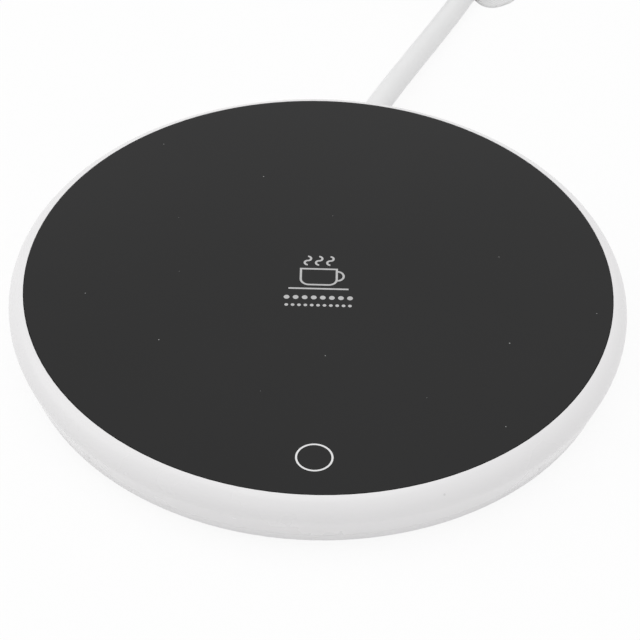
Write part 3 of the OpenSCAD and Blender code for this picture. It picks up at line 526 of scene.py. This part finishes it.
def smoothThrough(points, steps):
    # a curve that passes through every point, evenly eased from one to the next
    out = []
    for i in range(len(points) - 1):
        p0 = points[max(i - 1, 0)]
        p1, p2 = points[i], points[i + 1]
        p3 = points[min(i + 2, len(points) - 1)]
        for k in range(steps):
            t = k / steps
            out.append(0.5 * (
                2 * p1 + (p2 - p0) * t + (2 * p0 - 5 * p1 + 4 * p2 - p3) * t ** 2
                + (3 * p1 - p0 - 3 * p2 + p3) * t ** 3
            ))
    out.append(points[-1])
    return out


def cordPoints():
    c = cordWay
    exitAngle = math.radians(c["exitAngle"])
    start = c["exitRadius"] * Vector((math.cos(exitAngle), math.sin(exitAngle), 0))
    start.z = c["exitHeight"]
    turns, spans = c["coilTurns"], c["pointsPerSpan"]
    count = round(turns * c["pointsPerTurn"])
    coil = [coilPoint(turns * i / count) for i in range(count + 1)]
    nearby = 0.002
    inWay = (coilPoint(nearby) - coilPoint(0)).normalized()
    outWay = coilPoint(turns) - coilPoint(turns - nearby)
    outWay.z = 0
    outWay.normalize()
    lead = [coil[0] - back * inWay for back in c["leadIn"]]
    early = [start] + [Vector(p) for p in c["fromCase"]]
    late = [Vector(p) for p in c["route"]] + lead
    free = smoothThrough(early + late + [coil[0]], spans)
    tail = []
    for i in range(1, c["tailPoints"] + 1):
        s = c["tail"] * i / c["tailPoints"]
        point = coil[-1] + outWay * s
        rise = eased(s / (c["tail"] - c["diameter"] * 1000))
        point.z = coil[-1].z + (c["plugHeight"] - coil[-1].z) * rise
        tail.append(point)
    reliefCount = spans * (len(early) - 1)
    sleeve = free[:reliefCount + 1]
    cord = free[reliefCount:-1] + coil + tail
    return [p / 1000 for p in sleeve], [p / 1000 for p in cord], outWay


reliefLine, cordLine, plugWay = cordPoints()
plugAt = cordLine[-1]


def addCord():
    curve = bpy.data.curves.new("powerLead", "CURVE")
    curve.dimensions = "3D"
    curve.bevel_depth = cordWay["diameter"] / 2
    curve.bevel_resolution = cordWay["bevelRings"]
    curve.use_fill_caps = True
    spline = curve.splines.new("POLY")
    spline.points.add(len(cordLine) - 1)
    for point, place in zip(spline.points, cordLine):
        point.co = (*place, 1)
    obj = bpy.data.objects.new("powerLead", curve)
    bpy.context.collection.objects.link(obj)
    spline.use_smooth = True
    curve.materials.append(finish["cord_pvc"])
    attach(obj, "root")
    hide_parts("power_cord", "cord_coil")
    return obj


powerLead = addCord()

# strain relief: a soft tapered sleeve, moulded on the cord

relief = {
    "sides": 40,
    "base": 3.05,
    "tip": 2.53,
    "taper": 4.5,
    "neck": 3.2,
    "neckAt": (52, 55, 58, 60),  # from the middle of the case
    "shoulderRadius": 3.9,
    "shoulderAt": 60.2,
}


def ringAround(line, i, radius, sides):
    a, b = line[max(i - 1, 0)], line[min(i + 1, len(line) - 1)]
    way = (b - a).normalized()
    side = way.cross(Vector((0, 0, 1))).normalized()
    up = side.cross(way)
    turns = [2 * math.pi * k / sides for k in range(sides)]
    return [line[i] + radius * (math.cos(turn) * side + math.sin(turn) * up) for turn in turns]


def extrudeRings(rings):
    # a closed tube along a bent line, drawn out from ring to ring; each new point stays in its own row
    deselectAll()
    bpy.ops.mesh.primitive_circle_add(vertices=len(rings[0]), radius=0.001, fill_type="NGON")
    obj = bpy.context.object
    for v, place in zip(obj.data.vertices, rings[0]):
        v.co = place
    bpy.ops.object.mode_set(mode="EDIT")
    bpy.ops.mesh.select_mode(type="VERT")
    bpy.ops.mesh.select_all(action="SELECT")
    for last, ring in zip(rings, rings[1:]):
        bpy.ops.mesh.extrude_region_move()
        bpy.ops.object.mode_set(mode="OBJECT")
        for v in obj.data.vertices:
            if v.select:
                row = min(range(len(last)), key=lambda i: (last[i] - v.co).length)
                v.co = ring[row]
        bpy.ops.object.mode_set(mode="EDIT")
    bpy.ops.mesh.select_all(action="SELECT")
    bpy.ops.mesh.normals_make_consistent(inside=False)
    bpy.ops.object.mode_set(mode="OBJECT")
    return obj


def addStrainRelief():
    r = relief
    angle = math.radians(cordWay["exitAngle"])
    out = Vector((math.cos(angle), math.sin(angle), 0))
    height = Vector((0, 0, cordWay["exitHeight"] / 1000))
    line = [out * at / 1000 + height for at in (*r["neckAt"], r["shoulderAt"])] + reliefLine
    radii = [r["neck"]] * len(r["neckAt"]) + [r["shoulderRadius"]]
    for i in range(len(reliefLine)):
        t = i / (len(reliefLine) - 1)
        radii.append(r["tip"] + (r["base"] - r["tip"]) * math.exp(-(r["taper"] * t) ** 2))
    rings = [ringAround(line, i, radius / 1000, r["sides"]) for i, radius in enumerate(radii)]
    obj = extrudeRings(rings)
    finishPiece(obj, "cordSleeve", "cord_pvc", smoothAngle=50)
    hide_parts("strain_relief")
    return obj


cordSleeve = addStrainRelief()

# the plug: body and ribbed sleeve, moulded on the cord

plug = {
    "sides": 64,
    "sleeveLength": 14,
    "sleeveStart": (2.75, 0.35),  # radius at the cord, and how far on the sleeve is full
    "ribRadius": (3.4, 3.65, 3.9, 4.15),
    "ribShare": 0.6,  # of the distance from rib to rib
    "ribRound": 0.3,
    "ribSlope": 0.25,
    "ribsEnd": 1.2,  # before the end of the sleeve
    "grooveRadius": 3.1,
    "neck": ((-1, 3.1), (-0.9, 4.2), (-0.5, 4.6)),  # place from the end of the sleeve, and radius
    "neckRadius": 4.6,
    "bodyLength": 22,
    "fullLength": 9,  # the part of the body that has its full width
    "shoulderSteps": 14,
    "thickensBy": 1.15,  # how much sooner the body is thick than wide
    "halfWidth": 17.65,
    "halfThick": 6.85,
    "frontRound": 1.1,
    "roundSteps": 5,
    "gripSteps": (5, 7, 9, 11),
    "gripDepth": 0.25,
}


def extrudeStations(name, sides, stations):
    # a closed shape along +X: each station is (x, half width, half thickness), drawn out from the last one
    deselectAll()
    bpy.ops.mesh.primitive_circle_add(
        vertices=sides, radius=0.001, fill_type="NGON", rotation=(0, math.pi / 2, 0))
    obj = bpy.context.object
    obj.name = name
    bpy.ops.object.transform_apply(location=True, rotation=True, scale=True)
    flat = setRing(obj, stations[0], 0, math.pi / sides)
    bpy.ops.object.mode_set(mode="EDIT")
    bpy.ops.mesh.select_mode(type="VERT")
    bpy.ops.mesh.select_all(action="SELECT")
    for station in stations[1:]:
        bpy.ops.mesh.extrude_region_move()
        bpy.ops.object.mode_set(mode="OBJECT")
        flat = setRing(obj, station, flat)
        bpy.ops.object.mode_set(mode="EDIT")
    bpy.ops.mesh.select_all(action="SELECT")
    bpy.ops.mesh.normals_make_consistent(inside=False)
    bpy.ops.object.mode_set(mode="OBJECT")
    return obj


def setRing(obj, station, lastFlat, turn=0):
    # puts the selected ring on a round-ended outline: two half circles with straight sides between them
    x, wide, thick = station
    flat, radius = max(0, wide - thick) / 1000, min(wide, thick) / 1000
    for v in obj.data.vertices:
        if not v.select:
            continue
        side = 1 if v.co.y >= 0 else -1
        angle = math.atan2(v.co.z, v.co.y - side * lastFlat) + turn
        side = 1 if math.cos(angle) >= 0 else -1
        v.co = (x / 1000, side * flat + radius * math.cos(angle), radius * math.sin(angle))
    return flat


def putAtPlug(obj):
    turn = math.atan2(plugWay.y, plugWay.x)
    obj.rotation_euler = (0, 0, turn)
    obj.location = plugAt
    makeActive(obj)
    bpy.ops.object.transform_apply(location=True, rotation=True, scale=True)


def easeTo(a, b, t):
    return a + (b - a) * t * t * (3 - 2 * t)


def sleeveStations():
    # the ribbed sleeve, from the cord to the neck of the body
    p = plug
    low = p["grooveRadius"]
    firstRadius, fullAt = p["sleeveStart"]
    ring = [(0, firstRadius), (fullAt, low)]
    pitch = p["sleeveLength"] / (len(p["ribRadius"]) + 0.5)
    for i, radius in enumerate(p["ribRadius"]):
        start = (i + 0.5) * pitch
        end, soft = start + p["ribShare"] * pitch, p["ribRound"]
        ring += [(start - p["ribSlope"], low), (start, radius - soft), (start + soft, radius),
                 (end - soft, radius), (end, radius - soft), (end + p["ribSlope"], low)]
    ring = [(x, r) for x, r in ring if x < p["sleeveLength"] - p["ribsEnd"]]
    ring += [(p["sleeveLength"] + x, r) for x, r in p["neck"]]
    return [(x, r, r) for x, r in ring]


def addPlug():
    p = plug
    stations = sleeveStations()
    bodyStart, bodyEnd = p["sleeveLength"], p["sleeveLength"] + p["bodyLength"]
    fullAt = bodyEnd - p["fullLength"]
    for i in range(1, p["shoulderSteps"] + 1):
        t = i / p["shoulderSteps"]
        x = bodyStart + (fullAt - bodyStart) * t
        wide = easeTo(p["neckRadius"], p["halfWidth"], t)
        thick = easeTo(p["neckRadius"], p["halfThick"], min(1, t * p["thickensBy"]))
        if i in p["gripSteps"]:
            thick -= p["gripDepth"]
        stations.append((x, wide, thick))
    stations.append((bodyEnd - p["frontRound"], p["halfWidth"], p["halfThick"]))
    for k in range(1, p["roundSteps"] + 1):
        a = math.pi / 2 * k / p["roundSteps"]
        cut = p["frontRound"] * (1 - math.cos(a))
        stations.append((
            bodyEnd - p["frontRound"] * (1 - math.sin(a)), p["halfWidth"] - cut, p["halfThick"] - cut))
    body = extrudeStations("plugBody", p["sides"], stations)
    putAtPlug(body)
    finishPiece(body, "plugBody", "plug_pvc", smoothAngle=40)
    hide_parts("plug_body")
    return body


pins = {
    "sides": 32,
    "pitch": 18.6,
    "radius": 2.0,
    "length": 19,
    "bare": 9,
    "edge": 0.12,
    "tipSteps": 8,
    "core": 1.4,
    "sunk": 0.6,
    "seam": 0.02,
    "sleeveRadius": 1.9,
    "sleeveTip": 1.7,
    "sleeveSlope": 0.25,
}


def pinStations():
    # one sleeved pin: the insulating sleeve, and the bare metal with its round tip
    p = pins
    front = plug["sleeveLength"] + plug["bodyLength"]
    tip = front + p["length"]
    bareAt, r = tip - p["bare"], p["radius"]
    sleeve = [(front - p["sunk"], p["sleeveRadius"]), (bareAt - p["sleeveSlope"], p["sleeveRadius"]),
              (bareAt, p["sleeveTip"])]
    start = bareAt + p["seam"]
    pin = [(bareAt - p["sunk"], p["core"]), (start, p["core"]), (start, r - p["edge"]),
           (start + p["edge"], r), (tip - r, r)]
    for k in range(1, p["tipSteps"]):
        a = math.pi / 2 * k / p["tipSteps"]
        pin.append((tip - r + r * math.sin(a), r * math.cos(a)))
    pin.append((tip, p["edge"]))
    return [(x, w, w) for x, w in sleeve], [(x, w, w) for x, w in pin]


def addPins():
    sleeve, pin = pinStations()
    done = []
    for name, stations, slotName, node in (
            ("plugSleeves", sleeve, "plug_pvc", "plug_sleeves"),
            ("plugPins", pin, "pin_metal", "plug_pins")):
        pair = []
        for side in (-1, 1):
            obj = extrudeStations(name, pins["sides"], stations)
            for v in obj.data.vertices:
                v.co.y += side * pins["pitch"] / 2000
            pair.append(obj)
        makeActive(pair[0])
        pair[1].select_set(True)
        bpy.ops.object.join()
        obj = bpy.context.object
        putAtPlug(obj)
        finishPiece(obj, name, slotName, smoothAngle=40)
        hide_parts(node)
        done.append(obj)
    return done


plugBody = addPlug()
plugSleeves, plugPins = addPins()
print("plug done")

# the strap round the coil

strap = {
    "angle": -56.2,
    "width": 10,
    "thick": 0.6,
    "endRadius": 53.3,
    "endCorner": 3.7,
    "edgeRound": 0.2,
    "clear": 0.3,
    "edgeSteps": 3,
    "across": 12,
    "along": 150,
    "corner": 1.6,
    "cornerSteps": 6,
    "flatPast": 2,  # how far past the coil the free end lies flat
    "lap": 0.02,  # between the strap and its own start
}


def strapProfile():
    # the strap's middle line as (distance from the coil's middle, height), from its free end inwards,
    # up, over the coil and down again onto its own start
    c, s = cordWay, strap
    half, cordR = s["thick"] / 2, c["diameter"] * 500
    first = (s["angle"] - c["coilStart"]) / 360
    turnsHere = [first + k for k in range(1, math.ceil(c["coilTurns"]) + 1) if first + k < c["coilTurns"]]

    def radiusAt(u):
        return c["coilRadius"] - c["coilPitch"] * min(u, c["coilTurns"] - u)

    innerEdge = min(radiusAt(u) for u in turnsHere) - cordR - s["clear"]
    inner = math.sqrt(innerEdge ** 2 - s["width"] ** 2 / 4)
    middle = c["coilTurns"] / 2
    low = max(radiusAt(u) for u in turnsHere if u < middle) + cordR + s["clear"]
    high = max(radiusAt(u) for u in turnsHere if u > middle) + cordR + s["clear"]
    top = c["coilLow"] + c["coilPitch"] + cordR + s["clear"]
    steps = (c["coilLow"] + cordR, c["coilLow"] + c["coilPitch"] - cordR / 2)
    return [
        (s["endRadius"], half), (low + s["flatPast"], half),
        (inner - half, half), (inner - half, top + half),
        (high + half, top + half), (high + half, steps[1] - half), (low + half, steps[0] - half),
        (low + half, s["thick"] + half + s["lap"]),
    ]


def roundCorners(points, radius, steps):
    out = [Vector(points[0])]
    for a, b, c in zip(points, points[1:], points[2:]):
        a, b, c = Vector(a), Vector(b), Vector(c)
        reach = min(radius, (a - b).length * 0.45, (c - b).length * 0.45)
        start, end = b + (a - b).normalized() * reach, b + (c - b).normalized() * reach
        for k in range(steps + 1):
            t = k / steps
            out.append(start * (1 - t) ** 2 + b * 2 * t * (1 - t) + end * t ** 2)
    out.append(Vector(points[-1]))
    return out


def evenly(points, count):
    lengths = [0]
    for a, b in zip(points, points[1:]):
        lengths.append(lengths[-1] + (b - a).length)
    out, j = [], 0
    for i in range(count + 1):
        want = lengths[-1] * i / count
        while j < len(points) - 2 and lengths[j + 1] < want:
            j += 1
        t = (want - lengths[j]) / max(1e-9, lengths[j + 1] - lengths[j])
        out.append(points[j].lerp(points[j + 1], t))
    return out, lengths[-1]


def addStrap():
    s = strap
    line, total = evenly(roundCorners(strapProfile(), s["corner"], s["cornerSteps"]), s["along"])
    deselectAll()
    bpy.ops.mesh.primitive_grid_add(x_subdivisions=s["along"], y_subdivisions=s["across"], size=2)
    obj = bpy.context.object
    turn = math.radians(s["angle"])
    out, side = Vector((math.cos(turn), math.sin(turn), 0)), Vector((-math.sin(turn), math.cos(turn), 0))
    middle = Vector((*cordWay["coilMiddle"], 0))
    for v in obj.data.vertices:
        i = round((v.co.x + 1) / 2 * s["along"])
        across = v.co.y
        distance = total * i / s["along"]
        half = s["width"] / 2
        short = s["endCorner"] - distance
        if short > 0:
            half += math.sqrt(s["endCorner"] ** 2 - short ** 2) - s["endCorner"]
        r, z = line[i]
        v.co = (middle + out * r + side * across * half + Vector((0, 0, z))) / 1000
    solid = obj.modifiers.new("thickness", "SOLIDIFY")
    solid.thickness = s["thick"] / 1000
    solid.offset = 0
    solid.use_even_offset = True
    edge = obj.modifiers.new("rounding", "BEVEL")
    edge.width = s["edgeRound"] / 1000
    edge.segments = s["edgeSteps"]
    edge.limit_method = "ANGLE"
    edge.angle_limit = math.radians(60)
    applyModifiers(obj)
    finishPiece(obj, "cordStrap", "tie_strap", smoothAngle=40)
    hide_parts("cord_tie")
    return obj


cordStrap = addStrap()
print("strap done")

# rubber feet

feet = {
    "radius": 5.0,
    "circle": 51.5,
    "start": 45,
    "count": 4,
    "top": 1.6,
    "round": 0.35,
    "roundSteps": 5,
    "dish": ((0, 4), (0.12, 3.7), (0.12, 1)),  # height and radius, from the rim of the dish inwards
    "sides": 48,
}


def addFeet():
    f = feet
    stations = [(f["top"], f["radius"], f["radius"]), (f["round"], f["radius"], f["radius"])]
    for k in range(1, f["roundSteps"] + 1):
        a = math.pi / 2 * k / f["roundSteps"]
        r = f["radius"] - f["round"] * (1 - math.cos(a))
        stations.append((f["round"] * (1 - math.sin(a)), r, r))
    stations += [(z, r, r) for z, r in f["dish"]]
    made = []
    for i in range(f["count"]):
        obj = extrudeStations("foot", f["sides"], stations)
        angle = math.radians(f["start"] + 360 * i / f["count"])
        for v in obj.data.vertices:
            x, y, z = v.co
            v.co = (
                y + f["circle"] / 1000 * math.cos(angle), z + f["circle"] / 1000 * math.sin(angle), x)
        made.append(obj)
    makeActive(made[0])
    for obj in made[1:]:
        obj.select_set(True)
    bpy.ops.object.join()
    obj = bpy.context.object
    recalcOutside(obj)
    finishPiece(obj, "rubberFeet", "foot_rubber", smoothAngle=40)
    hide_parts("rubber_feet")
    return obj


addFeet()
print("feet done")

print("cord done")

# stage and light

studio = {
    "floorSize": 6,
    "floorColour": (0.9, 0.9, 0.9, 1),
    "shadowKept": 0.1,
    "white": (1, 1, 1, 1),
    "key": ((-1.1, 0.25, 1.05), 1.3, 3.1),  # each lamp: place, size across and power
    "fill": ((0.9, -0.5, 0.9), 1.2, 0.3),
    "top": ((-0.05, 0.12, 1.85), 1.5, 5.1),
    "world": 0.78,
}


def lookFrom(obj, place, target=(0, 0, 0)):
    obj.location = place
    obj.rotation_euler = (Vector(target) - Vector(place)).to_track_quat("-Z", "Y").to_euler()


def addAreaLight(name, place, size, power):
    light = bpy.data.lights.new(name, "AREA")
    light.shape = "DISK"
    light.size = size
    light.energy = power
    obj = bpy.data.objects.new(name, light)
    bpy.context.collection.objects.link(obj)
    lookFrom(obj, place)


def emptyTree(owner):
    owner.use_nodes = True
    owner.node_tree.nodes.clear()
    return owner.node_tree


def addShader(tree, kind, colour, strength=None):
    node = tree.nodes.new("Shader" + kind)
    node.inputs["Color"].default_value = colour
    if strength is not None:
        node.inputs["Strength"].default_value = strength
    return node.outputs[0]


def mixForRays(tree, shaded, white, keep, target):
    # camera, glossy and transmitted rays see plain white with the kept share of the shading in it,
    # and all other rays see the shading
    rays = tree.nodes.new("ShaderNodeLightPath").outputs
    seen = addMath(tree, "MAXIMUM", rays["Is Camera Ray"], rays["Is Glossy Ray"])
    seen = addMath(tree, "MAXIMUM", seen, rays["Is Transmission Ray"])
    mix = tree.nodes.new("ShaderNodeMixShader")
    tree.links.new(addMath(tree, "MULTIPLY", seen, 1 - keep), mix.inputs[0])
    tree.links.new(shaded, mix.inputs[1])
    tree.links.new(white, mix.inputs[2])
    tree.links.new(mix.outputs[0], target.inputs["Surface"])


def addFloor():
    bpy.ops.mesh.primitive_grid_add(x_subdivisions=8, y_subdivisions=8, size=studio["floorSize"])
    floor = bpy.context.object
    floor.name = "floor"
    mat = bpy.data.materials.new("floorPaper")
    tree = emptyTree(mat)
    paper = addShader(tree, "NodeBsdfDiffuse", studio["floorColour"])
    white = addShader(tree, "NodeEmission", studio["white"], 1)
    mixForRays(tree, paper, white, studio["shadowKept"], tree.nodes.new("ShaderNodeOutputMaterial"))
    floor.data.materials.append(mat)
    deselectAll()


def addWorld():
    world = bpy.data.worlds.new("studio")
    bpy.context.scene.world = world
    tree = emptyTree(world)
    soft = addShader(tree, "NodeBackground", studio["white"], studio["world"])
    white = addShader(tree, "NodeBackground", studio["white"], 1)
    mixForRays(tree, soft, white, 0, tree.nodes.new("ShaderNodeOutputWorld"))


addFloor()
addWorld()
for lampName in ("key", "fill", "top"):
    addAreaLight(lampName + "Light", *studio[lampName])
bpy.context.scene.view_settings.view_transform = "Standard"
print("stage and light done")
